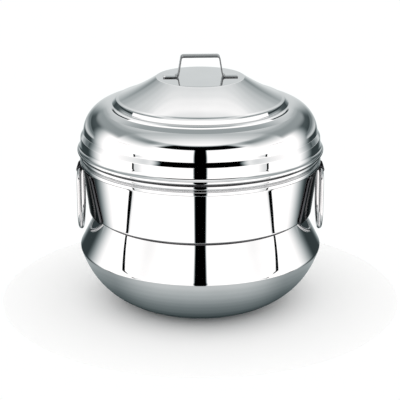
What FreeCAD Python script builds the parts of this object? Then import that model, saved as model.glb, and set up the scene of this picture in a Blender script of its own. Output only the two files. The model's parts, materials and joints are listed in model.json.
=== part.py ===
import FreeCAD, Part
import math
import os
import re
import Sketcher

# A waisted stainless steel pot with a tall domed lid, for steaming and carrying food.
# Millimetres, +Z up. The origin is the centre of the flat base and the ring handles are on +X and -X.
# A turned piece is drawn as the outline of its outer face in the XZ plane, thickened inwards to its
# gauge and revolved about Z.

DOC = FreeCAD.newDocument("waisted_pot")
VEC = FreeCAD.Vector
ARC_JOIN = 0
EAR_SWEEP_DEGREES = 80
SLIT_LEAN_DEGREES = 122
HOLE_RINGS = range(2, 7)
HOLES_PER_STEP = 6

DIMENSIONS = {
    # sheet gauges
    "pot_gauge": 1.2,
    "lid_gauge": 1.0,
    "strap_gauge": 1.2,
    "ear_gauge": 1.3,
    "plate_gauge": 1.0,
    # pot, from the base upwards
    "base_radius": 63.0,
    "base_turn": 18.0,
    "bowl_foot_radius": 70.2,
    "bowl_foot_height": 1.5,
    "bowl_lower_arc": 76.2,
    "bowl_mid_radius": 112.3,
    "bowl_mid_height": 37.4,
    "bowl_upper_arc": 101.5,
    "belly_radius": 119.9,
    "belly_low": 55.2,
    "belly_high": 58.1,
    "belly_drift": 0.2,
    "belly_turn": 3.84,
    "flare_top_radius": 103.26,
    "flare_top_height": 90.31,
    "waist_turn": 1.3,
    "shelf_inner": 104.42,
    "shelf_outer": 106.86,
    "shelf_height": 92.2,
    "shelf_bend": 2.0,
    "collar_foot_radius": 108.85,
    "collar_foot_height": 93.96,
    # the collar's taper, measured from where its line would meet the flare's
    "taper_radius": 107.4,
    "taper_height": 82.2,
    "collar_radius": 114.7,
    "collar_height": 141.6,
    "collar_taper": 0.1229,
    "ledge_radius": 118.0,
    "ledge_rise": 0.6,
    "band_radius": 118.6,
    "band_turn": 1.1,
    "band_low": 142.9,
    "band_high": 145.4,
    "band_shoulder": 0.7,
    "neck_radius": 115.7,
    "neck_height": 147.2,
    "rim_height": 149.85,
    "rim_bead": 2.75,
    # lid, from the top disc outwards and down
    "disc_radius": 43.0,
    "disc_height": 226.0,
    "cone_arc": 215.0,
    "crown_radius": 79.6,
    "crown_height": 205.9,
    "crown_arc": 7.7,
    "step_radius": 86.0,
    "step_height": 200.7,
    "shoulder_arc": 29.0,
    "shoulder_radius": 114.9,
    "shoulder_height": 173.6,
    "skirt_step_arc": 12.0,
    "skirt_radius": 117.4,
    "skirt_height": 168.3,
    "hem_root_radius": 119.7,
    "skirt_foot_radius": 118.0,
    "skirt_foot_height": 162.4,
    "skirt_foot_arc": 6.0,
    "hem_high": 157.5,
    "hem_low": 153.4,
    "hem_arc": 2.27,
    "seat_outer": 119.0,
    "seat_height": 152.9,
    "lip_radius": 112.4,
    "lip_low": 145.6,
    "lip_draft": 0.2,
    # lid strap
    "strap_width": 13.0,
    "strap_foot_end": 36.2,
    "strap_foot_root": 24.0,
    "strap_foot_turn": 2.2,
    "strap_leg_low_x": 21.83,
    "strap_leg_low_z": 3.04,
    "strap_leg_high_x": 19.3,
    "strap_leg_high_z": 18.49,
    "strap_shoulder_turn": 3.0,
    "strap_top_half": 16.34,
    "strap_rise": 21.0,
    "strap_turn_degrees": 2.5,
    # ears and rings
    "knuckle_x": 118.6,
    "knuckle_height": 134.7,
    "knuckle_outer": 3.6,
    "knuckle_bore": 2.3,
    "knuckle_half": 10.7,
    "knuckle_slit": 0.9,
    "ear_gap": 0.6,
    "ear_low": 92.2,
    "ear_high": 138.5,
    "ear_low_half": 56.0,
    "ear_high_half": 49.5,
    "ear_corner": 5.0,
    "weld_radius": 2.5,
    "weld_low": 102.0,
    "weld_high": 126.0,
    "weld_spread": 19.0,
    "wire_radius": 2.2,
    "ring_half": 25.0,
    "ring_corner": 12.0,
    "ring_drop": 61.4,
    # steamer plate
    "plate_radius": 106.4,
    "plate_low": 93.4,
    "plate_hole": 3.0,
    "plate_pitch": 15.5,
    "grip_width": 12.0,
    "grip_foot_end": 25.0,
    "grip_foot_root": 15.5,
    "grip_foot_turn": 2.0,
    "grip_leg": 13.5,
    "grip_shoulder_turn": 3.0,
    "grip_rise": 20.0,
    "rivet_place": 20.5,
    "rivet_radius": 2.0,
    "rivet_play": 0.05,
    "rivet_head": 3.6,
    "rivet_dome": 1.6,
}


def make_sheet():
    sheet = DOC.addObject("Spreadsheet::Sheet", "Dimensions")
    for row, (alias, number) in enumerate(DIMENSIONS.items(), start=1):
        sheet.set(f"A{row}", alias)
        sheet.set(f"B{row}", str(number))
        sheet.setAlias(f"B{row}", alias)
    DOC.recompute()
    return sheet


SHEET = make_sheet()


def bound(text):
    """The expression text with each dimension's name written as a reference to its cell."""
    return re.sub(r"[a-z_]+", lambda found: refer(found.group(0)), text)


def refer(word):
    return "Dimensions." + word if word in DIMENSIONS else word


def size(text):
    """The present value of an expression in the sheet's dimensions."""
    answer = SHEET.evalExpression(bound(text))
    return float(getattr(answer, "Value", answer))


def bind(thing, **properties):
    """Ties properties of an object to expressions in the sheet's dimensions."""
    for name, text in properties.items():
        thing.setExpression(name.replace("__", "."), bound(text))


def add_arc(sketch, start, end, radius, side):
    """An arc between two points, bulging to the right of the way along for side 1 and to the left for -1."""
    chord = end - start
    half = chord.Length / 2
    across = VEC(-chord.y, chord.x, 0).normalize() * side
    centre = (start + end) / 2 + across * math.sqrt(radius * radius - half * half)
    first = math.atan2(start.y - centre.y, start.x - centre.x)
    last = math.atan2(end.y - centre.y, end.x - centre.x)
    circle = Part.Circle(centre, VEC(0, 0, 1), radius)
    if side < 0:
        first, last = last, first
    return sketch.addGeometry(Part.ArcOfCircle(circle, first, last))


def fix_point(sketch, geometry, vertex, place):
    for kind, text in zip(("DistanceX", "DistanceY"), place):
        if abs(size(text)) < 1e-9:
            axis = -2 if kind == "DistanceX" else -1
            sketch.addConstraint(Sketcher.Constraint("PointOnObject", geometry, vertex, axis))
            continue
        number = sketch.addConstraint(Sketcher.Constraint(kind, -1, 1, geometry, vertex, size(text)))
        sketch.setExpression(f"Constraints[{number}]", bound(text))


def draw(sketch, stations, closed=False):
    """Draws stations (x, y) joined by lines, or by the arc (radius, side) that stands between two of them."""
    places = [item for item in stations if isinstance(item[0], str)]
    joins = []
    for item in stations:
        if isinstance(item[0], str):
            joins.append(None)
        else:
            joins[-1] = item[1:]
    points = [VEC(size(x), size(y), 0) for x, y in places]
    count = len(points) if closed else len(points) - 1
    ends = []
    for i in range(count):
        start, end = points[i], points[(i + 1) % len(points)]
        if joins[i] is None:
            number = sketch.addGeometry(Part.LineSegment(start, end))
            ends.append((number, 1, 2))
            continue
        radius, side = joins[i]
        number = add_arc(sketch, start, end, size(radius), side)
        ends.append((number, 1, 2) if side > 0 else (number, 2, 1))
        curb = sketch.addConstraint(Sketcher.Constraint("Radius", number, size(radius)))
        sketch.setExpression(f"Constraints[{curb}]", bound(radius))
    for i in range(count if closed else count - 1):
        here, there = ends[i], ends[(i + 1) % count]
        sketch.addConstraint(Sketcher.Constraint("Coincident", here[0], here[2], there[0], there[1]))
    for i, place in enumerate(places):
        if i < count:
            fix_point(sketch, ends[i][0], ends[i][1], place)
        else:
            fix_point(sketch, ends[-1][0], ends[-1][2], place)
    return sketch


def turn(radius, side=1):
    """An arc between two stations."""
    return (None, radius, side)


def upright_sketch(name, stations, closed=False):
    """A sketch in the XZ plane."""
    sketch = DOC.addObject("Sketcher::SketchObject", name)
    sketch.Placement = FreeCAD.Placement(VEC(0, 0, 0), FreeCAD.Rotation(VEC(1, 0, 0), 90))
    return draw(sketch, stations, closed)


def thickened(name, stations, gauge, sign=1):
    """The open outline given its sheet's thickness, on the left of the way along for sign 1."""
    face = DOC.addObject("Part::Offset2D", name + "_section")
    face.Source = upright_sketch(name + "_outline", stations)
    face.Mode = "Skin"
    face.Join = ARC_JOIN
    face.Fill = True
    bind(face, Value=gauge if sign > 0 else "-1 * " + gauge)
    return face


def revolved(name, section, degrees=360):
    piece = DOC.addObject("Part::Revolution", name)
    piece.Source = section
    piece.Axis = VEC(0, 0, 1)
    piece.Base = VEC(0, 0, 0)
    piece.Angle = degrees
    piece.Solid = True
    return piece


def extruded(name, section, direction, length):
    piece = DOC.addObject("Part::Extrusion", name)
    piece.Base = section
    piece.DirMode = "Custom"
    piece.Dir = direction
    piece.Symmetric = True
    piece.Solid = True
    bind(piece, LengthFwd=length)
    return piece


def fused(name, pieces):
    whole = DOC.addObject("Part::MultiFuse", name)
    whole.Shapes = pieces
    return whole


def cut(name, base, tool):
    rest = DOC.addObject("Part::Cut", name)
    rest.Base = base
    rest.Tool = tool
    return rest


def common(name, one, other):
    rest = DOC.addObject("Part::MultiCommon", name)
    rest.Shapes = [one, other]
    return rest


def cylinder(name, radius, height):
    piece = DOC.addObject("Part::Cylinder", name)
    bind(piece, Radius=radius, Height=height)
    return piece


def place(piece, x="0", y="0", z="0", axis=VEC(0, 0, 1), degrees=0):
    piece.Placement = FreeCAD.Placement(VEC(0, 0, 0), FreeCAD.Rotation(axis, degrees))
    bind(piece, Placement__Base__x=x, Placement__Base__y=y, Placement__Base__z=z)
    return piece


# ---------------------------------------------------------------- pot

def pot_body():
    """One spun sheet: flat base, bowl, belly, waist, inward shelf, collar, swaged band and curled rim."""
    shell = revolved("pot_shell", thickened("pot", [
        ("0", "0"),
        ("base_radius", "0"),
        turn("base_turn"),
        ("bowl_foot_radius", "bowl_foot_height"),
        turn("bowl_lower_arc"),
        ("bowl_mid_radius", "bowl_mid_height"),
        turn("bowl_upper_arc"),
        ("belly_radius", "belly_low"),
        turn("belly_turn"),
        ("belly_radius - belly_drift", "belly_high"),
        ("flare_top_radius", "flare_top_height"),
        turn("waist_turn", -1),
        ("shelf_inner", "shelf_height"),
        ("shelf_outer", "shelf_height"),
        turn("shelf_bend"),
        ("collar_foot_radius", "collar_foot_height"),
        ("collar_radius", "collar_height"),
        ("ledge_radius", "collar_height + ledge_rise"),
        turn("band_turn"),
        ("band_radius", "band_low"),
        ("band_radius", "band_high"),
        turn("band_turn"),
        ("ledge_radius", "band_high + band_shoulder"),
        ("neck_radius", "neck_height"),
        ("neck_radius", "rim_height"),
    ], "pot_gauge"))
    rim = DOC.addObject("Part::Torus", "rim_curl")
    bind(rim, Radius1="neck_radius", Radius2="rim_bead")
    place(rim, z="rim_height")
    return fused("pot_body", [shell, rim])


# ---------------------------------------------------------------- lid

def lid_shell():
    """One spun sheet: top disc, cone, crown step, shoulder, skirt, folded hem, seat and locating lip."""
    return revolved("lid_shell", thickened("lid", [
        ("0", "disc_height"),
        ("disc_radius", "disc_height"),
        turn("cone_arc", 1),
        ("crown_radius", "crown_height"),
        turn("crown_arc", -1),
        ("step_radius", "step_height"),
        turn("shoulder_arc", -1),
        ("shoulder_radius", "shoulder_height"),
        turn("skirt_step_arc", 1),
        ("skirt_radius", "skirt_height"),
        ("skirt_foot_radius", "skirt_foot_height"),
        turn("skirt_foot_arc", 1),
        ("hem_root_radius", "hem_high"),
        turn("hem_arc", -1),
        ("hem_root_radius", "hem_low"),
        ("seat_outer", "seat_height"),
        ("lip_radius", "seat_height"),
        ("lip_radius - lip_draft", "lip_low"),
    ], "lid_gauge", -1))


def strap(name, half, width):
    """A bent strap from its left half's outer face, x negative, mirrored about the middle."""
    mirrored = []
    for item in reversed(half):
        if item[0] is None:
            mirrored.append(item)
        else:
            mirrored.append((item[0].replace("-1 * ", ""), item[1]))
    return extruded(name, thickened(name, half + mirrored, "strap_gauge", -1), VEC(0, 1, 0), width)


def lid_handle():
    handle = strap("lid_handle", [
        ("-1 * strap_foot_end", "strap_gauge"),
        ("-1 * strap_foot_root", "strap_gauge"),
        turn("strap_foot_turn", 1),
        ("-1 * strap_leg_low_x", "strap_leg_low_z"),
        ("-1 * strap_leg_high_x", "strap_leg_high_z"),
        turn("strap_shoulder_turn", -1),
        ("-1 * strap_top_half", "strap_rise"),
    ], "strap_width")
    return place(handle, z="disc_height", degrees=DIMENSIONS["strap_turn_degrees"])


# ---------------------------------------------------------------- ears and rings

def ear(side, turned):
    """A curved sheet welded to the collar, its middle curled over the ring's wire."""
    name = side + "_ear"
    wall = "taper_radius + (ear_low - taper_height) * collar_taper"
    top = "taper_radius + (ear_high - taper_height) * collar_taper"
    section = upright_sketch(name + "_section", [
        (wall + " + ear_gap", "ear_low"),
        (wall + " + ear_gap + ear_gauge", "ear_low"),
        (top + " + ear_gap + ear_gauge", "ear_high"),
        (top + " + ear_gap", "ear_high"),
    ], closed=True)
    sweep = place(revolved(name + "_band", section, EAR_SWEEP_DEGREES), degrees=-EAR_SWEEP_DEGREES / 2)
    blank = DOC.addObject("Sketcher::SketchObject", name + "_blank")
    blank.Placement = FreeCAD.Placement(VEC(0, 0, 0), FreeCAD.Rotation(VEC(1, 1, 1), 120))
    draw(blank, [
        ("-1 * ear_low_half", "ear_low + ear_corner"),
        turn("ear_corner"),
        ("-1 * (ear_low_half - ear_corner)", "ear_low"),
        ("ear_low_half - ear_corner", "ear_low"),
        turn("ear_corner"),
        ("ear_low_half", "ear_low + ear_corner"),
        ("ear_high_half", "ear_high"),
        ("-1 * ear_high_half", "ear_high"),
    ], closed=True)
    trim = extruded(name + "_trim", blank, VEC(1, 0, 0), "3 * band_radius")
    sheet = common(name + "_sheet", sweep, trim)
    pieces = [sheet, knuckle(name)] + welds(name)
    return place(fused(name, pieces), degrees=turned)


def knuckle(name):
    """The curl that holds the wire, with a slit where its edge comes back to the sheet."""
    barrel = lying(cylinder(name + "_barrel", "knuckle_outer", "2 * knuckle_half"), "knuckle_half")
    bore = lying(cylinder(name + "_bore", "knuckle_bore", "3 * knuckle_half"), "1.5 * knuckle_half")
    slit = DOC.addObject("Part::Box", name + "_slit")
    bind(slit, Length="knuckle_outer + 1", Width="3 * knuckle_half", Height="knuckle_slit")
    place(slit, "knuckle_x", "-1.5 * knuckle_half", "knuckle_height", VEC(0, 1, 0), SLIT_LEAN_DEGREES)
    return cut(name + "_knuckle", cut(name + "_curl", barrel, bore), slit)


def lying(piece, back):
    """Lays a cylinder along Y on the ring's axis, its far end at y = back."""
    return place(piece, "knuckle_x", back, "knuckle_height", VEC(1, 0, 0), 90)


def collar_cone(name, grown):
    """The collar's outer wall as a solid cone, grown outwards by a distance."""
    cone = DOC.addObject("Part::Cone", name)
    bind(cone, Radius1="taper_radius + " + grown, Radius2="collar_radius + " + grown)
    bind(cone, Height="collar_height - taper_height")
    return place(cone, z="taper_height")


def welds(name):
    """Four projection welds, pressed from the sheet back to the collar's wall."""
    wall = collar_cone(name + "_wall", "0")
    middle = collar_cone(name + "_middle", "ear_gap + ear_gauge / 2")
    joints = []
    for row in ("weld_low", "weld_high"):
        for side in ("weld_spread", "-1 * weld_spread"):
            label = f"{name}_weld_{len(joints)}"
            peg = cylinder(label + "_peg", "weld_radius", "taper_radius")
            place(peg, "taper_radius / 2", side, row, VEC(0, 1, 0), 90)
            joints.append(cut(label, common(label + "_trim", peg, middle), wall))
    return joints


def origin_plane(body, role):
    return next(feature for feature in body.Origin.OriginFeatures if feature.Role == role)


def body_sketch(body, name, role):
    sketch = body.newObject("Sketcher::SketchObject", name)
    sketch.AttachmentSupport = [(origin_plane(body, role), "")]
    sketch.MapMode = "FlatFace"
    return sketch


def ring(side, turned):
    """One closed loop of wire: a straight pin in the knuckle, two bars and a round foot."""
    body = DOC.addObject("PartDesign::Body", side + "_ring")
    path = draw(body_sketch(body, side + "_ring_path", "YZ_Plane"), [
        ("0", "0"),
        ("ring_half - ring_corner", "0"),
        turn("ring_corner", -1),
        ("ring_half", "-1 * ring_corner"),
        ("ring_half", "ring_half - ring_drop"),
        turn("ring_half", -1),
        ("0", "-1 * ring_drop"),
        turn("ring_half", -1),
        ("-1 * ring_half", "ring_half - ring_drop"),
        ("-1 * ring_half", "-1 * ring_corner"),
        turn("ring_corner", -1),
        ("ring_corner - ring_half", "0"),
    ], closed=True)
    wire = body_sketch(body, side + "_ring_wire", "XZ_Plane")
    number = wire.addGeometry(Part.Circle(VEC(0, 0, 0), VEC(0, 0, 1), size("wire_radius")))
    wire.addConstraint(Sketcher.Constraint("Coincident", number, 3, -1, 1))
    curb = wire.addConstraint(Sketcher.Constraint("Radius", number, size("wire_radius")))
    wire.setExpression(f"Constraints[{curb}]", bound("wire_radius"))
    pipe = body.newObject("PartDesign::AdditivePipe", side + "_ring_loop")
    pipe.Profile = wire
    pipe.Spine = path
    body.Tip = pipe
    place(body, "knuckle_x" if turned == 0 else "-1 * knuckle_x", "0", "knuckle_height", degrees=turned)
    return body


# ---------------------------------------------------------------- steamer plate

def steamer_plate():
    """A flat disc with rings of steam holes, which rests on the pot's inward shelf."""
    body = DOC.addObject("PartDesign::Body", "steamer_plate")
    blank = body_sketch(body, "plate_blank", "XY_Plane")
    number = blank.addGeometry(Part.Circle(VEC(0, 0, 0), VEC(0, 0, 1), size("plate_radius")))
    blank.addConstraint(Sketcher.Constraint("Coincident", number, 3, -1, 1))
    curb = blank.addConstraint(Sketcher.Constraint("Radius", number, size("plate_radius")))
    blank.setExpression(f"Constraints[{curb}]", bound("plate_radius"))
    disc = body.newObject("PartDesign::Pad", "plate_disc")
    disc.Profile = blank
    bind(disc, Length="plate_gauge")
    for ring_number in HOLE_RINGS:
        count = HOLES_PER_STEP * ring_number
        hole_ring(body, ring_number, f"{ring_number} * plate_pitch", "plate_hole", count)
    hole_ring(body, 1, "rivet_place", "rivet_radius + rivet_play", 2)
    return place(body, z="plate_low")


def hole_ring(body, ring_number, reach, radius, count):
    """A ring of round holes through the plate."""
    sketch = body_sketch(body, f"plate_hole_{ring_number}", "XY_Plane")
    number = sketch.addGeometry(Part.Circle(VEC(size(reach), 0, 0), VEC(0, 0, 1), size(radius)))
    fix_point(sketch, number, 3, (reach, "0"))
    curb = sketch.addConstraint(Sketcher.Constraint("Radius", number, size(radius)))
    sketch.setExpression(f"Constraints[{curb}]", bound(radius))
    pocket = body.newObject("PartDesign::Pocket", f"plate_pocket_{ring_number}")
    pocket.Profile = sketch
    pocket.Type = "ThroughAll"
    pocket.Midplane = True
    pattern = body.newObject("PartDesign::PolarPattern", f"plate_ring_{ring_number}")
    pattern.Originals = [pocket]
    pattern.Axis = (origin_plane(body, "Z_Axis"), [""])
    pattern.Angle = 360
    pattern.Occurrences = count
    body.Tip = pattern


def plate_handle():
    """A bent strap with a rivet hole in each foot."""
    blank = strap("plate_strap", [
        ("-1 * grip_foot_end", "strap_gauge"),
        ("-1 * grip_foot_root", "strap_gauge"),
        turn("grip_foot_turn", 1),
        ("-1 * grip_leg", "strap_gauge + grip_foot_turn"),
        ("-1 * grip_leg", "grip_rise - grip_shoulder_turn"),
        turn("grip_shoulder_turn", -1),
        ("-1 * (grip_leg - grip_shoulder_turn)", "grip_rise"),
    ], "grip_width")
    place(blank, z="plate_low + plate_gauge")
    for number, side in enumerate(("rivet_place", "-1 * rivet_place")):
        drill = cylinder(f"rivet_drill_{number}", "rivet_radius + rivet_play", "4 * strap_gauge")
        place(drill, side, "0", "plate_low")
        blank = cut("plate_handle" if number else "plate_strap_drilled", blank, drill)
    return blank


def plate_rivets():
    rivets = []
    for number, side in enumerate(("rivet_place", "-1 * rivet_place")):
        shank = cylinder(f"rivet_shank_{number}", "rivet_radius", "plate_gauge + strap_gauge")
        place(shank, side, "0", "plate_low")
        parts = [shank]
        ends = (("head", "plate_low + plate_gauge + strap_gauge"), ("tail", "plate_low - rivet_dome"))
        for end, base in ends:
            cap = DOC.addObject("Part::Cone", f"rivet_{end}_{number}")
            wide, narrow = ("Radius1", "Radius2") if end == "head" else ("Radius2", "Radius1")
            bind(cap, **{wide: "rivet_head", narrow: "rivet_radius", "Height": "rivet_dome"})
            parts.append(place(cap, side, "0", base))
        rivets.append(fused(f"rivet_{number}", parts))
    group = DOC.addObject("Part::Compound", "plate_rivets")
    group.Links = rivets
    return group


def build():
    nodes = [pot_body(), lid_shell(), lid_handle(), steamer_plate(), plate_handle(), plate_rivets()]
    for side, turned in (("right", 0), ("left", 180)):
        nodes.append(ear(side, turned))
        nodes.append(ring(side, turned))
    DOC.recompute()
    return nodes


def check(nodes):
    for thing in DOC.Objects:
        if any(word in thing.State for word in ("Invalid", "Error")):
            raise RuntimeError(f"{thing.Name} failed: {thing.State}")
    for node in nodes:
        shape = node.Shape
        if shape.isNull() or not shape.isValid() or shape.Volume <= 0:
            raise RuntimeError(f"{node.Label} has no valid shape")
        print(node.Label, len(shape.Solids), "solids", round(shape.Volume), "mm3", shape.BoundBox)


def export(nodes):
    os.makedirs("parts", exist_ok=True)
    for node in nodes:
        node.Shape.exportStep(f"parts/{node.Label}.step")


NODES = build()
check(NODES)
export(NODES)
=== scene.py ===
import json
import math

import bpy
import numpy as np
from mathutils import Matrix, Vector


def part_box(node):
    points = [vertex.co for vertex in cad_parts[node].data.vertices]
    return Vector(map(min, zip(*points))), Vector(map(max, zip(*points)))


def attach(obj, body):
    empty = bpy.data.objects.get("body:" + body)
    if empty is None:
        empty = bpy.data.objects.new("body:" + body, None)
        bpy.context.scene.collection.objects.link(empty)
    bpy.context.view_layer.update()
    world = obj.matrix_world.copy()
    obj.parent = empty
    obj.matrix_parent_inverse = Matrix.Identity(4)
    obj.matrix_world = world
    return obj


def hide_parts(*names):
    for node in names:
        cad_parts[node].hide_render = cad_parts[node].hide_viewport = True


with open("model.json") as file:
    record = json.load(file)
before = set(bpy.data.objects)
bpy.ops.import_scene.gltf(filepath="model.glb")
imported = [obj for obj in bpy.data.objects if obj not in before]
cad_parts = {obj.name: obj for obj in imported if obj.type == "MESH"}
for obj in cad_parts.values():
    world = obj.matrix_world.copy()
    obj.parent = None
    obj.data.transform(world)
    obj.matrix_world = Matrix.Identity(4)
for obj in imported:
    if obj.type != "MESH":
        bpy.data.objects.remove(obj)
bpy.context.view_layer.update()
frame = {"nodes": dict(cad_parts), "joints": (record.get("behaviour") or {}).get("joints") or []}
NODES = frame["nodes"]
MM = 0.001

# ---------------------------------------------------------------- node tree helper


class Tree:
    """Writes shader arithmetic as calls, so that a material or the studio reads as a formula."""

    def __init__(self, tree):
        self.tree = tree
        self.tree.nodes.clear()

    def node(self, kind, **settings):
        made = self.tree.nodes.new(kind)
        for name, value in settings.items():
            setattr(made, name, value)
        return made

    def feed(self, socket, value):
        if isinstance(value, bpy.types.NodeSocket):
            self.tree.links.new(value, socket)
        else:
            socket.default_value = value

    def math(self, operation, a, b=None, clamp=False):
        made = self.node("ShaderNodeMath", operation=operation, use_clamp=clamp)
        self.feed(made.inputs[0], a)
        if b is not None:
            self.feed(made.inputs[1], b)
        return made.outputs[0]

    def step(self, value, low, high, start=0.0, end=1.0):
        """A smooth change from start to end as value goes from low to high."""
        made = self.node("ShaderNodeMapRange", interpolation_type="SMOOTHSTEP")
        for socket, number in zip(made.inputs[:5], (value, low, high, start, end)):
            self.feed(socket, number)
        return made.outputs[0]

    def curve(self, value, low, high, stops):
        """A piecewise smooth function of value, given as (place, height) stops between low and high."""
        made = self.node("ShaderNodeValToRGB")
        ramp = made.color_ramp
        ramp.interpolation = "EASE"
        top = max(height for _, height in stops)
        while len(ramp.elements) < len(stops):
            ramp.elements.new(0.5)
        for element, (place, height) in zip(ramp.elements, stops):
            element.position = (place - low) / (high - low)
            element.color = (height / top, height / top, height / top, 1)
        scaled = self.math("DIVIDE", self.math("SUBTRACT", value, low), high - low)
        self.feed(made.inputs[0], scaled)
        return self.math("MULTIPLY", made.outputs[0], top)

    def mix(self, share, a, b):
        """a where share is 0 and b where it is 1."""
        made = self.node("ShaderNodeMix", data_type="FLOAT")
        for socket, value in zip(made.inputs[:4], (share, None, a, b)):
            if value is not None:
                self.feed(socket, value)
        return made.outputs[0]


# ---------------------------------------------------------------- outlines


def degrees(low, high, count):
    """Angles evenly spread between two in degrees, as radians."""
    return np.radians(np.linspace(low, high, count))


def arc(start, end, radius, side):
    """Points of an arc, its centre on the left of the way along for side 1."""
    p, q = np.array(start, float), np.array(end, float)
    chord = q - p
    length = math.hypot(*chord)
    across = np.array([-chord[1], chord[0]]) / length * side
    centre = (p + q) / 2 + across * math.sqrt(radius**2 - length**2 / 4)
    first, last = (math.atan2(*(x - centre)[::-1]) for x in (p, q))
    sweep = (last - first + math.pi) % (2 * math.pi) - math.pi
    count = max(6, int(abs(sweep) * radius / 0.2))
    angles = first + sweep * np.linspace(0, 1, count)
    return [tuple(centre + radius * np.array([math.cos(a), math.sin(a)])) for a in angles]


def outline(stations):
    """A polyline through stations (r, z), with (radius, side) between two of them standing for an arc."""
    points = [stations[0]]
    for before, here in zip(stations, stations[1:]):
        if isinstance(here, Turn):
            pending = here
            continue
        if isinstance(before, Turn):
            points += arc(points[-1], here, pending.radius, pending.side)[1:]
        else:
            points.append(here)
    return np.array(points, float)


class Turn:
    def __init__(self, radius, side=1):
        self.radius, self.side = radius, side


def even(points, gap):
    """The same line with its points a fixed distance apart."""
    steps = np.hypot(*np.diff(points, axis=0).T)
    along = np.concatenate([[0], np.cumsum(steps)])
    keep = np.concatenate([[True], np.diff(along) > 1e-9])
    spread = np.linspace(0, along[-1], max(3, int(along[-1] / gap)))
    return np.stack([np.interp(spread, along[keep], points[keep, k]) for k in range(points.shape[1])], 1)


def soften(points, bend, gap=0.12):
    """Rounds every crease, as sheet bends, with the two ends left in place."""
    line = even(points, gap)
    reach = int(3 * bend / gap) + 1
    kernel = np.exp(-0.5 * (np.arange(-reach, reach + 1) * gap / bend) ** 2)
    kernel /= kernel.sum()
    before, after = 2 * line[0] - line[reach:0:-1], 2 * line[-1] - line[-2 : -reach - 2 : -1]
    padded = np.concatenate([before, line, after])
    return np.stack([np.convolve(padded[:, k], kernel, "valid") for k in range(line.shape[1])], 1)


def normals_of(line):
    """Unit normals on the right of the way along."""
    tangent = np.gradient(line, axis=0)
    tangent /= np.linalg.norm(tangent, axis=1)[:, None]
    return np.stack([tangent[:, 1], -tangent[:, 0]], 1)


def thin_out(line, normals, turn=1.3, longest=2.5):
    """Drops points where the line is nearly straight."""
    kept = [0]
    for i in range(1, len(line) - 1):
        bent = math.degrees(math.acos(min(1, float(normals[kept[-1]] @ normals[i + 1]))))
        if bent > turn or np.linalg.norm(line[i + 1] - line[kept[-1]]) > longest:
            kept.append(i)
    kept.append(len(line) - 1)
    return kept


def inside_of(line, normals, gauge):
    """The other face of a sheet of this gauge, on the left of the way along, without folded-over loops."""
    offset = line - normals * gauge
    clear = [np.min(np.hypot(*(line - p).T)) > gauge * 0.985 for p in offset]
    return offset[np.array(clear)]


# ---------------------------------------------------------------- meshes


def make_mesh(name, verts, faces, normals, materials, indices=None):
    mesh = bpy.data.meshes.new(name)
    mesh.from_pydata([tuple(v) for v in verts], [], faces)
    for material in materials:
        mesh.materials.append(material)
    if indices is not None:
        mesh.polygons.foreach_set("material_index", indices)
    mesh.polygons.foreach_set("use_smooth", [True] * len(mesh.polygons))
    mesh.update()
    if normals is not None:
        mesh.normals_split_custom_set_from_vertices([tuple(n) for n in normals])
    piece = bpy.data.objects.new(name, mesh)
    bpy.context.scene.collection.objects.link(piece)
    return piece


def lathe(name, sides, steps=360):
    """Turns open outlines, in millimetres, about Z. Each side is (points, normals, material)."""
    verts, normals, faces, indices = [], [], [], []
    angles = np.arange(steps) * 2 * math.pi / steps
    turned = np.stack([np.cos(angles), np.sin(angles)], 1)
    for number, (line, normal, _) in enumerate(sides):
        rings = []
        for (r, z), (nr, nz) in zip(line, normal):
            if r < 1e-3:
                rings.append([len(verts)])
                verts.append((0, 0, z * MM))
                normals.append((0, 0, math.copysign(1, nz)))
                continue
            rings.append(list(range(len(verts), len(verts) + steps)))
            verts += [(r * c * MM, r * s * MM, z * MM) for c, s in turned]
            normals += [(nr * c, nr * s, nz) for c, s in turned]
        for a, b in zip(rings, rings[1:]):
            for k in range(steps):
                n = (k + 1) % steps
                quad = [a[k % len(a)], a[n % len(a)], b[n % len(b)], b[k % len(b)]]
                quad = list(dict.fromkeys(quad))
                faces.append(quad)
                indices.append(number)
    return make_mesh(name, verts, faces, normals, [side[2] for side in sides], indices)


def skin(name, grid, material, loop=False, second=None):
    """A closed surface over a grid of points in millimetres; each row is a closed ring, joined to the next.

    second, where given, is (material, test): the material of the faces whose middle passes the test.
    """
    grid = np.array(grid, float)
    rows, cols = grid.shape[:2]

    def direction(axis, wraps):
        ahead = np.roll(grid, -1, axis) - grid
        ahead /= np.maximum(np.linalg.norm(ahead, axis=2, keepdims=True), 1e-9)
        behind = np.roll(ahead, 1, axis)
        if not wraps:
            ahead[-1], behind[0] = behind[-1], ahead[0]
        return ahead + behind

    normal = np.cross(direction(0, loop), direction(1, True))
    normal /= np.maximum(np.linalg.norm(normal, axis=2, keepdims=True), 1e-9)
    middle = grid.mean(1, keepdims=True)
    if np.sum((grid - middle) * normal) < 0:
        normal = -normal
        order = (0, 3, 2, 1)
    else:
        order = (0, 1, 2, 3)
    faces = []
    for i in range(rows if loop else rows - 1):
        for j in range(cols):
            a, b = i * cols, ((i + 1) % rows) * cols
            quad = (a + j, b + j, b + (j + 1) % cols, a + (j + 1) % cols)
            faces.append([quad[k] for k in order])
    if not loop:
        faces.append(list(range(cols)) if order[1] == 1 else list(range(cols))[::-1])
        last = [(rows - 1) * cols + j for j in range(cols)]
        faces.append(last[::-1] if order[1] == 1 else last)
    points = grid.reshape(-1, 3)
    materials, indices = [material], None
    if second:
        materials.append(second[0])
        indices = [int(second[1](points[list(face)].mean(0))) for face in faces]
    return make_mesh(name, points * MM, faces, normal.reshape(-1, 3), materials, indices)


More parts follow.
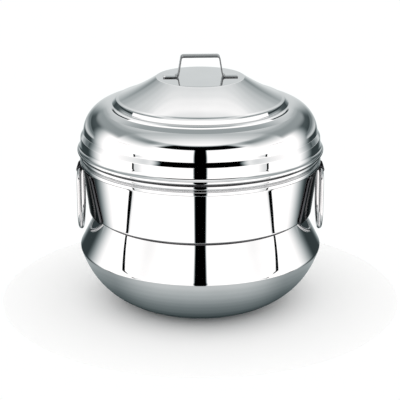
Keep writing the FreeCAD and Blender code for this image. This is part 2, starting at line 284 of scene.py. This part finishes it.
def bar_section(width, thick, edge, inset=0.0):
    """A rectangle with rounded corners as (across, up) points, drawn in by an inset."""
    w, t = width / 2 - inset, thick / 2 - inset
    edge = min(max(edge - inset, 0.02), t * 0.98)
    right, top = w - edge, t - edge
    ring = []
    for cx, cy, first in ((right, top, 0), (-right, top, 90), (-right, -top, 180), (right, -top, 270)):
        for k in range(5):
            a = math.radians(first + 22.5 * k)
            ring.append((cx + edge * math.cos(a), cy + edge * math.sin(a)))
    return ring


def strip(name, path, width, thick, material, edge=0.35, second=None):
    """A flat bar bent along a path in the XZ plane, with softened edges and ends."""
    line = path[thin_out(path, normals_of(path), 3, 3)]
    normal = normals_of(line)
    rows = []
    ease = [(0.0, edge), (0.3 * edge, 0.35 * edge), (edge, 0.0)]
    start = [(line[0], normal[0], s, i) for s, i in ease]
    end = [(line[-1], normal[-1], -s, i) for s, i in reversed(ease)]
    middle = [(p, n, 0.0, 0.0) for p, n in zip(line[1:-1], normal[1:-1])]
    for p, n, shift, inset in start + middle + end:
        tangent = np.array([-n[1], n[0]])
        base = p + tangent * shift
        section = bar_section(width, thick, edge, inset)
        rows.append([(base[0] - n[0] * up, across, base[1] - n[1] * up) for across, up in section])
    return skin(name, rows, material, second=second)


# ---------------------------------------------------------------- steel


def steel(name, light, dark, rough, grain, pitch, relief, smudge, glancing=1.0):
    """Stainless steel, its colour wandering between light and dark.

    grain is 'spun' for lines round the axis, or the letter of the axis that drawn lines run along, pitch
    apart in metres. relief is how deep they read, smudge is how much haze they carry, and glancing below 1
    darkens the steel where it is seen edge on.
    """
    material = bpy.data.materials.new(name)
    material.use_nodes = True
    t = Tree(material.node_tree)
    out = t.node("ShaderNodeOutputMaterial")
    metal = t.node("ShaderNodeBsdfPrincipled")
    metal.inputs["Metallic"].default_value = 1.0
    metal.inputs["IOR"].default_value = 2.5
    metal.inputs["Specular Tint"].default_value = (glancing, glancing, glancing, 1)
    place = t.node("ShaderNodeTexCoord").outputs["Object"]
    apart = t.node("ShaderNodeSeparateXYZ")
    t.feed(apart.inputs[0], place)
    x, y, z = apart.outputs[:3]
    along = t.node("ShaderNodeCombineXYZ")
    if grain == "spun":
        radius = t.math("SQRT", t.math("ADD", t.math("MULTIPLY", x, x), t.math("MULTIPLY", y, y)))
        t.feed(along.inputs[0], t.math("MULTIPLY", radius, 1 / pitch))
        t.feed(along.inputs[1], t.math("MULTIPLY", z, 1 / pitch))
    else:
        for k, axis in enumerate("XYZ"):
            stretch = 0.03 if axis == grain else 1.0
            t.feed(along.inputs[k], t.math("MULTIPLY", apart.outputs[k], stretch / pitch))
    lines = t.node("ShaderNodeTexNoise", noise_dimensions="3D")
    t.feed(lines.inputs["Vector"], along.outputs[0])
    lines.inputs["Scale"].default_value = 1.0
    lines.inputs["Detail"].default_value = 3.0
    marks = t.node("ShaderNodeTexNoise", noise_dimensions="3D")
    t.feed(marks.inputs["Vector"], place)
    marks.inputs["Scale"].default_value = 28.0
    marks.inputs["Detail"].default_value = 4.0
    tint = t.node("ShaderNodeMix", data_type="RGBA")
    t.feed(tint.inputs[0], t.step(marks.outputs[0], 0.3, 0.7))
    tint.inputs[6].default_value = (*light, 1)
    tint.inputs[7].default_value = (*dark, 1)
    t.feed(metal.inputs["Base Color"], tint.outputs[2])
    haze = t.step(marks.outputs[0], 0.42, 0.75, 0.0, smudge)
    scratch = t.step(lines.outputs[0], 0.35, 0.75, 0.0, rough * 0.6)
    t.feed(metal.inputs["Roughness"], t.math("ADD", t.math("ADD", haze, scratch), rough))
    bump = t.node("ShaderNodeBump")
    bump.inputs["Strength"].default_value = relief
    bump.inputs["Distance"].default_value = 0.00002
    t.feed(bump.inputs["Height"], lines.outputs[0])
    t.feed(metal.inputs["Normal"], bump.outputs[0])
    t.feed(out.inputs[0], metal.outputs[0])
    return material


MIRROR_POT = steel(
    "pot_polish", (0.66, 0.665, 0.67), (0.63, 0.635, 0.64), 0.010, "spun", 0.0016, 0.004, 0.010
)
MIRROR_LID = steel(
    "lid_polish", (0.66, 0.665, 0.67), (0.63, 0.635, 0.64), 0.010, "spun", 0.0014, 0.004, 0.010
)
SATIN_INSIDE = steel(
    "inside_satin", (0.60, 0.605, 0.61), (0.53, 0.535, 0.54), 0.20, "spun", 0.0005, 0.5, 0.06
)
# Strap steel darkened to about a third of the pot's tone: a painted dark reflection; the feet use the plain
# steel tone below.
STRAP_PAINTED_DARK = steel("strap_painted_dark", (0.20, 0.205, 0.21), (0.15, 0.155, 0.16), 0.10, "X", 0.0006, 0.1, 0.04)
# Near-black steel for the ear's edges and its curl: painted shade for the gap behind the ear's edge and the
# dark underside of the curl.
EDGE_PAINTED_SHADE = steel("edge_painted_shade", (0.07, 0.07, 0.075), (0.05, 0.05, 0.055), 0.25, "Z", 0.0012, 0.006, 0.02, 0.1)
STRAP_FOOT = steel(
    "strap_foot_polish", (0.62, 0.625, 0.63), (0.56, 0.565, 0.57), 0.06, "X", 0.0006, 0.1, 0.04
)
# Ear steel with its colour darkened to under half the pot's: a painted dark reflection, as the ear mirrors
# dark surroundings.
EAR_PAINTED_DARK = steel("ear_painted_dark", (0.30, 0.305, 0.31), (0.26, 0.265, 0.27), 0.05, "Z", 0.0012, 0.006, 0.02, 0.25)
WIRE = steel("wire_polish", (0.66, 0.665, 0.67), (0.60, 0.605, 0.61), 0.05, "Z", 0.0012, 0.006, 0.02)
PLATE = steel("plate_satin", (0.58, 0.585, 0.59), (0.50, 0.505, 0.51), 0.18, "spun", 0.0006, 0.35, 0.07)
# Dark rough steel for the pot's crease and the lid's hem seat: painted shade, standing in for the shadow in
# these tight folds.
SEAM_PAINTED_SHADE = steel("seam_painted_shade", (0.10, 0.10, 0.105), (0.05, 0.05, 0.055), 0.35, "spun", 0.0005, 0.4, 0.1)
RIVET = steel("rivet_satin", (0.56, 0.565, 0.57), (0.48, 0.485, 0.49), 0.14, "spun", 0.0004, 0.2, 0.06)

# ---------------------------------------------------------------- pot

POT_GAUGE, LID_GAUGE, STRAP_GAUGE = 1.2, 1.0, 1.2
TAPER_RADIUS, TAPER_HEIGHT, COLLAR_TAPER = 107.4, 82.2, 0.1229


def wall_radius(height):
    """Outer radius of the collar's straight taper."""
    return TAPER_RADIUS + (height - TAPER_HEIGHT) * COLLAR_TAPER


def arc_points(r, z, radius, angles):
    """Points (r, z) round a centre."""
    return np.array([(r + radius * math.cos(a), z + radius * math.sin(a)) for a in angles])


def sheet_sides(line, gauge, outer, inner, in_painted_shade):
    """The faces of a spun sheet as lathe sides, from an outline walked with its outer face on the right.

    The outer face takes the dark seam material where the crease test on (r, z) is true: painted shade for
    the shadow in a tight crease.
    """
    normal = normals_of(line)
    other = inside_of(line, normal, gauge)[::-1]
    other_normal = normals_of(other)
    back = thin_out(other, other_normal)
    sides = [(other[back], other_normal[back], inner)]
    painted_shade_mask = in_painted_shade(line[:, 0], line[:, 1])
    breaks = [0, *(np.flatnonzero(np.diff(painted_shade_mask)) + 1), len(line) - 1]
    for first, last in zip(breaks, breaks[1:]):
        part, part_normal = line[first : last + 1], normal[first : last + 1]
        kept = thin_out(part, part_normal)
        sides.append((part[kept], part_normal[kept], SEAM_PAINTED_SHADE if painted_shade_mask[first] else outer))
    return sides


def build_pot():
    wall = soften(outline([
        (0, 0),
        (63, 0),
        Turn(18),
        (70.2, 1.5),
        Turn(76.2),
        (112.3, 37.4),
        Turn(101.5),
        (119.9, 55.2),
        Turn(3.84),
        (119.7, 58.1),
        (103.26, 90.31),
        Turn(1.3, -1),
        (104.42, 92.2),
        (106.86, 92.2),
        Turn(2.0),
        (108.85, 93.96),
        (114.7, 141.6),
        (118.0, 142.2),
        Turn(1.3),
        (118.6, 142.9),
        (118.6, 145.4),
        Turn(1.3),
        (118.0, 146.1),
        (115.7, 147.3),
    ]), 0.3)
    bead = arc_points(115.7, 149.85, 2.75, degrees(-86, 244, 120))
    bead_normal = normals_of(bead)

    # Painted shade: the pot's crease under the collar's lip, where the dark seam material goes.
    def crease(r, z):
        return (z > 89.3) & (z < 93.3) & (r > 103)

    sides = sheet_sides(wall, POT_GAUGE, MIRROR_POT, SATIN_INSIDE, crease)
    sides.append((bead[::2], bead_normal[::2], MIRROR_POT))
    pot = lathe("pot_spun_body", sides)
    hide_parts("pot_body")
    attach(pot, "pot")


def build_lid():
    shell = soften(outline([
        (112.2, 145.6),
        (112.4, 152.9),
        (119.0, 152.9),
        (119.7, 153.4),
        Turn(2.27),
        (119.7, 157.5),
        Turn(6, -1),
        (118.0, 162.4),
        (117.5, 168.7),
        (114.8, 173.6),
        Turn(29),
        (86.0, 200.7),
        (82.4, 205.2),
        (79.6, 205.9),
        Turn(215, -1),
        (43, 226),
        (0, 226),
    ]), 0.25)

    # Painted shade: the underside of the lid's hem over the rim, where the dark seam material goes.
    def seat(r, z):
        return (z > 152.5) & (z < 154.3) & (r > 112.6)

    sides = sheet_sides(shell, LID_GAUGE, MIRROR_LID, SATIN_INSIDE, seat)
    edge = arc_points(111.7, 145.6, 0.5, degrees(180, 360, 9))
    sides.append((edge, normals_of(edge), MIRROR_LID))
    lid = lathe("lid_spun_shell", sides)
    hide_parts("lid_shell")
    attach(lid, "lid")


# ---------------------------------------------------------------- straps


def strap_path(half, gauge):
    """The middle line of a strap that is symmetric about x = 0, from its left half's outer face."""
    left = outline(half)
    whole = soften(np.concatenate([left, left[::-1] * (-1, 1)]), 0.3)
    return whole + normals_of(whole) * gauge / 2


def build_lid_handle():
    path = strap_path([
        (-36.2, 1.2),
        (-24.0, 1.2),
        Turn(2.2),
        (-21.83, 3.04),
        (-19.3, 18.49),
        Turn(3, -1),
        (-16.34, 21.0),
    ], STRAP_GAUGE)
    # The feet keep the plain steel tone; the rest of the strap carries the painted dark reflection.
    feet = (STRAP_FOOT, lambda p: abs(p[0]) > 24.5 and abs(p[1]) < 6.2)
    handle = strip("lid_strap_handle", path, 13.0, STRAP_GAUGE, STRAP_PAINTED_DARK, second=feet)
    handle.location.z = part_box("lid_handle")[0].z
    handle.rotation_euler.z = math.radians(2.5)
    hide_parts("lid_handle")
    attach(handle, "lid")


def build_plate_parts():
    path = strap_path([
        (-25.0, 1.2),
        (-15.5, 1.2),
        Turn(2.0),
        (-13.5, 3.2),
        (-13.5, 17.0),
        Turn(3, -1),
        (-10.5, 20.0),
    ], STRAP_GAUGE)
    # The plate's strap carries the same painted dark reflection.
    handle = strip("plate_strap_handle", path, 12.0, STRAP_GAUGE, STRAP_PAINTED_DARK)
    handle.location.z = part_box("plate_handle")[0].z
    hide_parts("plate_handle")
    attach(handle, "plate")
    low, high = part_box("plate_rivets")
    height = (high.z - low.z) / MM
    for side in (-1, 1):
        rivet = build_rivet(f"plate_rivet_{'left' if side < 0 else 'right'}", height)
        rivet.location = (side * 20.5 * MM, 0, low.z)
        if side < 0:
            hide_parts("plate_rivets")
        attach(rivet, "plate")
    for place in range(len(NODES["steamer_plate"].data.materials)):
        NODES["steamer_plate"].data.materials[place] = PLATE


def build_rivet(name, height):
    """A rivet of a height over all, with a domed head at each end."""
    head, rise, shank, under = 3.6, 1.6, 2.0, 1.65
    dome = [(head * math.sin(a), height - rise + rise * math.cos(a)) for a in degrees(90, 0, 14)]
    tail = [(head * math.sin(a), rise - rise * math.cos(a)) for a in degrees(0, 90, 14)]
    line = np.array(tail + [(shank, under), (shank, height - under)] + dome)
    return lathe(name, [(line, normals_of(line), RIVET)], 48)


# ---------------------------------------------------------------- ears and rings

EAR_GAP, EAR_GAUGE = 0.6, 1.3
EAR_LOW, EAR_HIGH = 92.2, 138.5
EAR_LOW_HALF, EAR_HIGH_HALF, EAR_CORNER = 56.0, 49.5, 5.0
WELDS = [(side * 19.0, height) for side in (-1, 1) for height in (102.0, 126.0)]


def ear_half_width(height):
    """Half the ear's width at a height, with rounded corners."""
    share = (height - EAR_LOW) / (EAR_HIGH - EAR_LOW)
    width = EAR_LOW_HALF + (EAR_HIGH_HALF - EAR_LOW_HALF) * share
    for end in (EAR_LOW, EAR_HIGH):
        reach = min(EAR_CORNER, abs(height - end))
        width -= EAR_CORNER - math.sqrt(EAR_CORNER**2 - (EAR_CORNER - reach) ** 2)
    return width


def ear_row(height, shift, inset):
    """One level of the ear: its outer face, one edge, its inner face and the other edge."""
    inner = wall_radius(height) + EAR_GAP + inset
    outer = wall_radius(height) + EAR_GAP + EAR_GAUGE - inset
    half = ear_half_width(height) - inset
    flat = half - 0.5
    spread = np.linspace(-1, 1, 65) * flat
    row = []
    for y in spread:
        dent = sum(0.45 * math.exp(-((y - wy) ** 2 + (height - wz) ** 2) / 4.5) for wy, wz in WELDS)
        row.append((math.sqrt((outer - dent) ** 2 - y * y), y, height + shift))
    for turn in (60, 0, -60):
        radius = (inner + outer) / 2 + (outer - inner) / 2 * math.sin(math.radians(turn))
        y = flat + 0.5 * math.cos(math.radians(turn))
        row.append((math.sqrt(radius**2 - y * y), y, height + shift))
    for y in spread[::-1]:
        row.append((math.sqrt(inner**2 - y * y), y, height + shift))
    for turn in (-60, 0, 60):
        radius = (inner + outer) / 2 + (outer - inner) / 2 * math.sin(math.radians(turn))
        y = -flat - 0.5 * math.cos(math.radians(turn))
        row.append((math.sqrt(radius**2 - y * y), y, height + shift))
    return row


def knuckle_section(centre, inset):
    """The curl round the wire, from the sheet over the top to its free edge at the inner side."""
    bore, outer = 2.32 + inset, 3.6 - inset
    trim = math.degrees(inset / 3)
    angles = np.radians(np.linspace(196 - trim, -112 + trim, 46))
    ring = [(centre[0] + outer * math.cos(a), centre[1] + outer * math.sin(a)) for a in angles]
    return ring + [(centre[0] + bore * math.cos(a), centre[1] + bore * math.sin(a)) for a in angles[::-1]]


def build_side(side, turned):
    """The ear, its curl and its ring on one side; the -X side is the +X side turned half round."""
    joint = next(j for j in frame["joints"] if j["name"] == side + "_ring_swing")
    centre = (abs(joint["pos_m"][0]) / MM, joint["pos_m"][2] / MM)
    heights = np.linspace(EAR_LOW, EAR_HIGH, 42)
    rows = [ear_row(EAR_LOW + 0.01, 0.0, 0.45), ear_row(EAR_LOW + 0.02, 0.1, 0.2)]
    rows += [ear_row(h, 0.0, 0.0) for h in heights[1:-1]]
    rows += [ear_row(EAR_HIGH - 0.02, -0.1, 0.2), ear_row(EAR_HIGH - 0.01, 0.0, 0.45)]

    # The ear's edges take the near-black edge material, painted shade for the gap between ear and wall.
    def on_edge(p):
        return abs(p[1]) > ear_half_width(p[2]) - 0.52 or not EAR_LOW + 0.3 < p[2] < EAR_HIGH - 0.3

    # The ear sheet carries the painted dark reflection.
    ear = skin(side + "_ear_sheet", rows, EAR_PAINTED_DARK, second=(EDGE_PAINTED_SHADE, on_edge))
    spans = [(-10.7, 0.25), (-10.6, 0.08), (-10.4, 0.0)]
    spans += [(y, 0.0) for y in np.linspace(-8, 8, 5)] + [(-y, inset) for y, inset in reversed(spans)]
    rows = [[(x, y, z) for x, z in knuckle_section(centre, inset)] for y, inset in spans]
    # The whole curl is painted shade, near black.
    curl = skin(side + "_ear_curl", rows, EDGE_PAINTED_SHADE)
    loop = build_loop(side + "_wire_ring", centre)
    rides = ((ear, "pot", "ear_steel"), (curl, "pot", "ear_steel"), (loop, side + "_loop", "wire_steel"))
    for piece, body, slot in rides:
        piece.rotation_euler.z = turned
        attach(piece, body)
    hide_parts(side + "_ear")
    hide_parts(side + "_ring")


def build_loop(name, centre):
    """A closed wire loop: pin through the curl, two bars, and a half-round foot."""
    half, corner, drop, wire = 25.0, 12.0, 61.4, 2.2
    straight = half - corner

    def bend(y, z, radius, first, last, count):
        angles = np.linspace(first, last, count)
        turns = [(math.cos(a), math.sin(a)) for a in np.radians(angles)]
        return [(y + radius * c, z + radius * s, a) for (c, s), a in zip(turns, angles)]

    path = [(y, 0.0, 90.0) for y in np.linspace(-straight, straight, 12)]
    path += bend(straight, -corner, corner, 82, 0, 14)
    path += [(half, z, 0.0) for z in np.linspace(-corner - 3, half - drop + 3, 10)]
    path += bend(0.0, half - drop, half, 0, -180, 60)
    path += [(-half, z, 180.0) for z in np.linspace(half - drop + 3, -corner - 3, 10)]
    path += bend(-straight, -corner, corner, 180, 98, 14)
    rows = []
    for y, z, angle in path:
        out = (math.cos(math.radians(angle)), math.sin(math.radians(angle)))
        row = []
        for k in range(28):
            a = 2 * math.pi * k / 28
            swing, reach = wire * math.sin(a), wire * math.cos(a)
            row.append((centre[0] + swing, y + out[0] * reach, centre[1] + z + out[1] * reach))
        rows.append(row)
    return skin(name, rows, WIRE, loop=True)


# ---------------------------------------------------------------- studio


def cool(t, strength):
    """The light's colour at a strength: white when bright and faintly blue-green when dim."""
    made = t.node("ShaderNodeCombineColor")
    t.feed(made.inputs[0], t.math("MULTIPLY", t.math("POWER", strength, 1.1), 0.98))
    t.feed(made.inputs[1], strength)
    t.feed(made.inputs[2], t.math("POWER", strength, 0.98))
    return made.outputs[0]


def build_studio_light():
    """White panels all round with narrow gaps, a darker back, and plain white behind the view.

    away is the direction's angle from the front and rise its angle above the horizon, both in degrees.
    """
    world = bpy.data.worlds.new("studio")
    bpy.context.scene.world = world
    world.use_nodes = True
    t = Tree(world.node_tree)
    apart = t.node("ShaderNodeSeparateXYZ")
    t.feed(apart.inputs[0], t.node("ShaderNodeTexCoord").outputs["Generated"])
    x, y, z = apart.outputs[:3]
    degree = 180 / math.pi
    away = t.math("ABSOLUTE", t.math("MULTIPLY", t.math("ARCTAN2", x, t.math("MULTIPLY", y, -1.0)), degree))
    rise = t.math("MULTIPLY", t.math("ARCSINE", z), degree)
    roof = t.curve(t.math("MULTIPLY", y, -1.0), -1, 1, [
        (-1, 0.40), (-0.7, 0.42), (-0.57, 0.46), (-0.42, 0.51), (-0.26, 0.63),
        (-0.09, 0.77), (0.09, 0.92), (0.26, 1.12), (0.42, 1.3), (0.6, 1.5), (1, 1.6),
    ])
    back = t.curve(rise, -90, 90, [
        (-90, 0.3), (-35, 0.4), (0, 0.85), (10, 0.86), (20, 0.8), (32, 0.5), (50, 0.42), (90, 0.4),
    ])
    side = t.curve(rise, -90, 90, [
        (-90, 0.06), (0, 0.06), (20, 0.13), (30, 0.22), (40, 0.35), (50, 0.45), (90, 0.45),
    ])
    low = t.mix(t.step(away, 150, 174), side, back)
    bright = t.mix(t.step(rise, 18, 46), 1.7, t.mix(t.step(away, 42, 62), 1.6, 0.6))
    under = t.mix(t.step(rise, -42, -38), 0.9, bright)
    low = t.mix(t.step(away, 100, 133), under, low)
    panels = t.mix(t.step(rise, 45, 56), low, roof)
    gap = t.math("MULTIPLY", t.step(rise, 33.2, 35.2), t.step(rise, 47, 50.5, 1.0, 0.0))
    widened = t.math("ADD", away, t.math("MULTIPLY", rise, 1.1))
    gap = t.math("MULTIPLY", gap, t.step(widened, 82, 92, 1.0, 0.0))
    wing = t.math("MULTIPLY", t.step(rise, 36, 45), t.step(rise, 49, 54, 1.0, 0.0))
    wing = t.math("MULTIPLY", wing, t.step(away, 45, 110, 0.5, 0.1))
    slit = t.math("MULTIPLY", t.step(away, 5.2, 7.4, 1.0, 0.0), t.step(rise, 40, 44, 1.0, 0.0))
    seam = t.curve(rise, -90, 90, [
        (-90, 108), (-31.5, 108), (-30.4, 95), (-29.9, 86.7), (-29.1, 75.2), (-28.2, 66), (-8, 65),
        (10, 66), (90, 66),
    ])
    slanted = t.math("SUBTRACT", 213.6, t.math("MULTIPLY", rise, 6.53))
    seam = t.mix(t.step(rise, 3, 5), seam, slanted)
    edge = t.math("MULTIPLY", t.math("SUBTRACT", away, seam), t.step(rise, 4, 8, 1.0, -1.0))
    kept = t.math("MULTIPLY", t.step(rise, 18.6, 19.0), t.step(rise, 21.1, 21.7, 1.0, 0.0))
    kept = t.math("MAXIMUM", t.step(rise, -3, 0, 1.0, 0.0), kept)
    width = t.curve(rise, -90, 90, [
        (-90, 4.2), (-29, 4.2), (-27.5, 1.0), (0, 1.0), (6, 1.4), (90, 1.4),
    ])
    line = t.step(t.math("DIVIDE", t.math("ABSOLUTE", edge), width), 0.8, 1.3, 1.0, 0.0)
    line = t.math("MULTIPLY", line, kept)
    shade = t.math("MULTIPLY", t.step(edge, -15, -1.0), t.step(edge, 0.0, 0.5, 0.35, 0.0))
    shade = t.math("MULTIPLY", shade, t.step(rise, -3, 0, 1.0, 0.0))
    for dark in (gap, wing, slit, line, shade):
        panels = t.math("MULTIPLY", panels, t.math("SUBTRACT", 1.0, dark))
    ray = t.node("ShaderNodeLightPath")
    plain = t.mix(ray.outputs["Is Camera Ray"], 1.22, 1.02)
    strength = t.mix(ray.outputs["Is Glossy Ray"], plain, panels)
    light = t.node("ShaderNodeBackground")
    t.feed(light.inputs["Color"], cool(t, strength))
    t.feed(t.node("ShaderNodeOutputWorld").inputs[0], light.outputs[0])


def glossy_card(name, verts, faces, paint):
    """A panel that only reflections show, its light given by paint(tree, x, y) as (strength, share)."""
    card = make_mesh(name, verts, faces, None, [])
    material = bpy.data.materials.new(name + "_glow")
    material.use_nodes = True
    t = Tree(material.node_tree)
    apart = t.node("ShaderNodeSeparateXYZ")
    t.feed(apart.inputs[0], t.node("ShaderNodeTexCoord").outputs["Object"])
    strength, share = paint(t, apart.outputs[0], apart.outputs[1])
    glow = t.node("ShaderNodeEmission")
    t.feed(glow.inputs["Color"], cool(t, strength))
    mixed = t.node("ShaderNodeMixShader")
    t.feed(mixed.inputs[0], share)
    t.feed(mixed.inputs[1], t.node("ShaderNodeBsdfTransparent").outputs[0])
    t.feed(mixed.inputs[2], glow.outputs[0])
    t.feed(t.node("ShaderNodeOutputMaterial").inputs[0], mixed.outputs[0])
    card.data.materials.append(material)
    card.visible_camera = False
    card.visible_diffuse = False
    card.visible_shadow = False


def distance(t, a, b):
    return t.math("SQRT", t.math("ADD", t.math("MULTIPLY", a, a), t.math("MULTIPLY", b, b)))


def build_roof_light():
    """A soft horseshoe light above and behind the lid, which lights the lid's cone."""
    half_x, front, back, height = 0.85, -0.16, 1.15, 0.50

    def paint(t, x, y):
        reach = distance(t, x, t.math("MINIMUM", t.math("SUBTRACT", y, 0.175), 0.0))
        strength = t.curve(reach, 0, 0.4, [
            (0, 0.45), (0.06, 0.6), (0.082, 0.93), (0.105, 1.25), (0.126, 1.42), (0.146, 1.34),
            (0.164, 1.17), (0.185, 1.04), (0.215, 0.95), (0.26, 0.80), (0.32, 0.60), (0.4, 0.45),
        ])
        share = t.math("MULTIPLY", t.step(y, -0.06, 0.0), t.step(y, 0.7, 1.1, 1.0, 0.0))
        share = t.math("MULTIPLY", share, t.step(t.math("ABSOLUTE", x), 0.5, 0.8, 1.0, 0.0))
        return strength, share

    places = ((-half_x, front), (-half_x, back), (half_x, back), (half_x, front))
    glossy_card("roof_light", [(x, y, height) for x, y in places], [(0, 1, 2, 3)], paint)


def circle(radius, height, steps):
    angles = np.arange(steps) * 2 * math.pi / steps
    return [(radius * math.cos(a), radius * math.sin(a), height) for a in angles]


def disc_mesh(radius, height, steps=96):
    return circle(radius, height, steps), [tuple(range(steps))]


def build_table_shade():
    """The table as the bowl mirrors it: darker under and behind the pot."""

    def paint(t, x, y):
        radius = distance(t, x, y)
        level = t.curve(radius, 0, 0.2, [
            (0, 0.02), (0.075, 0.05), (0.084, 0.12), (0.092, 0.2), (0.1, 0.26), (0.108, 0.34),
            (0.115, 0.43), (0.125, 0.56), (0.135, 0.66), (0.15, 0.82), (0.2, 0.95),
        ])
        front = t.math("DIVIDE", t.math("MULTIPLY", y, -1.0), radius)
        level = t.mix(t.step(front, 0.4, 0.95), t.math("MULTIPLY", level, 0.55), level)
        return level, t.step(radius, 0.155, 0.170, 1.0, 0.0)

    glossy_card("table_shade", *disc_mesh(0.172, 0.00004), paint)


def build_ring_card():
    """A narrow soft ring close over the lid's shoulder, between it and the roof light."""
    steps, low, high, height = 180, 0.0853, 0.099, 0.207
    verts = circle(low, height, steps) + circle(high, height, steps)
    faces = [(k, (k + 1) % steps, steps + (k + 1) % steps, steps + k) for k in range(steps)]

    def paint(t, x, y):
        radius = distance(t, x, y)
        reach = t.math("SUBTRACT", radius, t.step(y, -0.0530, -0.0522, 0.0893, 0.0880))
        inner = t.step(reach, -0.0002, 0.0002, 1.0, 0.0)
        crown = t.step(y, -0.0530, -0.0522, 1.6, 0.07)
        strength = t.mix(inner, t.step(y, -0.082, -0.045, 0.5, 0.85), crown)
        outer = t.math("MULTIPLY", t.step(y, -0.055, -0.02, 1.0, 0.0), t.step(radius, 0.0894, 0.0900))
        share = t.mix(inner, outer, t.step(y, -0.015, 0.0, 1.0, 0.0))
        return strength, share

    glossy_card("ring_card", verts, faces, paint)


def build_side_cards():
    """Two upright panels behind the pot, left and right, that light the lid's skirt and not the pot."""
    near, far, low, high, back = 0.14, 0.62, 0.125, 0.235, 0.25
    verts = []
    for side in (-1, 1):
        verts += [(side * x, back, z) for x, z in ((near, low), (far, low), (far, high), (near, high))]
    glossy_card("side_cards", verts, [(0, 1, 2, 3), (4, 5, 6, 7)], side_paint)


def side_paint(t, x, _):
    place = t.node("ShaderNodeSeparateXYZ")
    t.feed(place.inputs[0], t.node("ShaderNodeTexCoord").outputs["Object"])
    height, out = place.outputs[2], t.math("ABSOLUTE", x)
    strength = t.curve(height, 0.12, 0.24, [
        (0.12, 0.3), (0.14, 0.7), (0.155, 0.8), (0.175, 0.5), (0.2, 0.25), (0.24, 0.22),
    ])
    share = t.math("MULTIPLY", t.step(height, 0.128, 0.142), t.step(height, 0.215, 0.235, 1.0, 0.0))
    across = t.math("MULTIPLY", t.step(out, 0.15, 0.26), t.step(out, 0.5, 0.6, 1.0, 0.0))
    return strength, t.math("MULTIPLY", share, across)


def build_floor():
    """A round pale board under the pot."""
    floor = make_mesh("floor", *disc_mesh(0.2, 0.0), None, [])
    material = bpy.data.materials.new("floor_board")
    material.use_nodes = True
    t = Tree(material.node_tree)
    board = t.node("ShaderNodeBsdfPrincipled")
    board.inputs["Base Color"].default_value = (0.9, 0.9, 0.9, 1)
    board.inputs["Roughness"].default_value = 0.6
    board.inputs["Specular IOR Level"].default_value = 0.0
    t.feed(t.node("ShaderNodeOutputMaterial").inputs[0], board.outputs[0])
    floor.data.materials.append(material)
    floor.visible_glossy = False


def build_camera():
    """From 1.37 m away, looking 18.5 degrees down at the pot's middle, through a long lens."""
    target, distance, pitch = Vector((0, 0, 0.0995)), 1.371, math.radians(18.52)
    data = bpy.data.cameras.new("camera")
    data.sensor_width = 36.0
    data.lens = 36.0 * 1371 / 400
    data.shift_x = -0.0008
    data.clip_end = 50
    camera = bpy.data.objects.new("camera", data)
    camera.location = target + Vector((0, -math.cos(pitch), math.sin(pitch))) * distance
    camera.rotation_mode = "QUATERNION"
    camera.rotation_quaternion = (target - camera.location).to_track_quat("-Z", "Y")
    bpy.context.scene.collection.objects.link(camera)
    bpy.context.scene.camera = camera


build_camera()
build_studio_light()
build_roof_light()
build_table_shade()
build_ring_card()
build_side_cards()
build_floor()
build_pot()
build_lid()
build_lid_handle()
build_plate_parts()
build_side("right", 0.0)
build_side("left", math.pi)
bpy.context.scene.view_settings.view_transform = "Standard"
